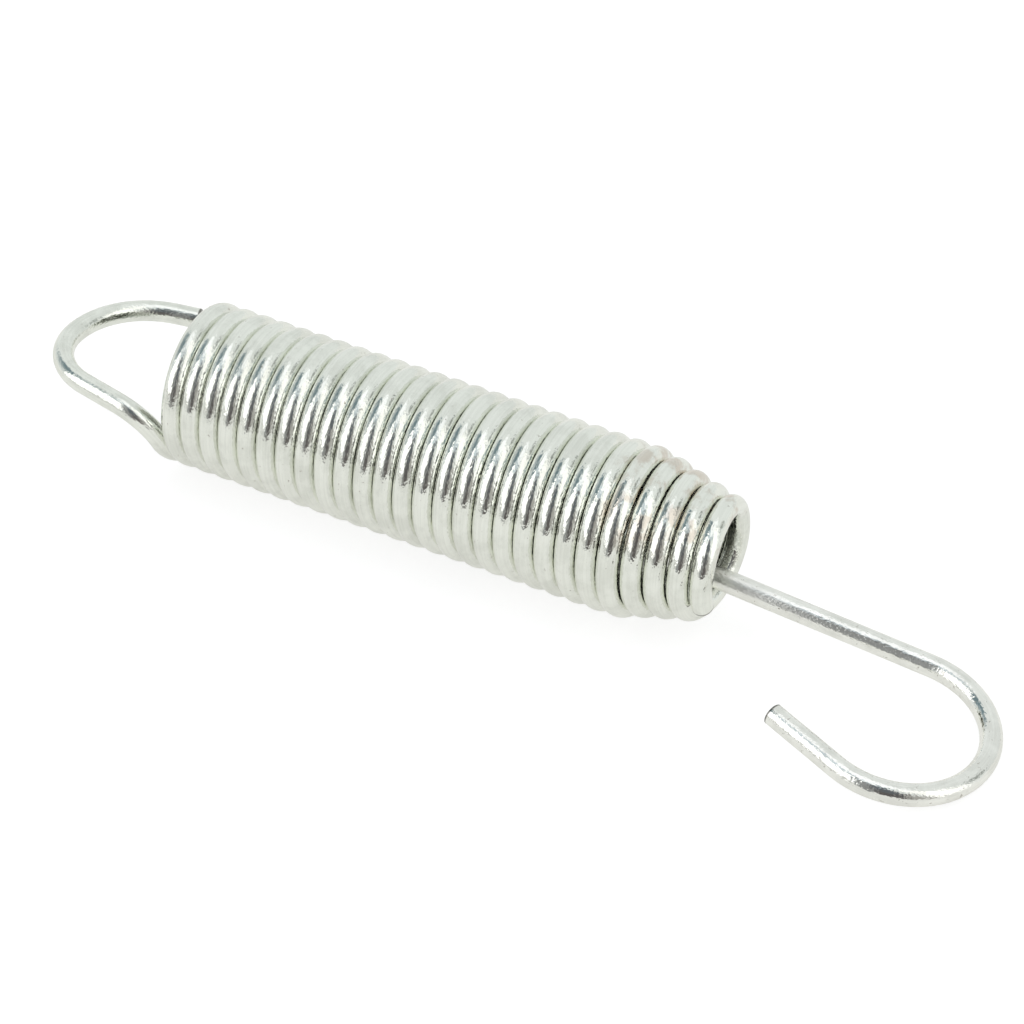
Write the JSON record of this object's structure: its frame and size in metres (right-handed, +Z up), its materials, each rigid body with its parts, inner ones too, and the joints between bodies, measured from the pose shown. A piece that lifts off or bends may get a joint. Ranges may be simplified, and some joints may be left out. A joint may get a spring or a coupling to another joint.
{
  "type": "extension spring",
  "caption": "Close-wound extension spring with a long open loop at one end and a swivelling wire hook held in its reduced other end.",
  "frame": {"origin": "on the coil's axis, at the seat of the loop (the inner side of its bend)", "axes": "X along the coil's axis towards the hook, Y towards the far side of the coil, Z up from the surface that the spring lies on"},
  "size_m": [0.1452, 0.0359, 0.0234],
  "materials": {
    "zinc_coil": "bright zinc-plated drawn spring wire",
    "zinc_hook": "satin zinc-plated wire"
  },
  "bodies": {
    "coil": {"coil_body": "zinc_coil"},
    "hook": {"swivel_hook": "zinc_hook"}
  },
  "joints": [
    {"name": "hook_swivel", "type": "hinge", "parent": "coil", "child": "hook", "pos_m": [0.0996, 0, 0], "axis": [1, 0, 0], "continuous": true}
  ]
}
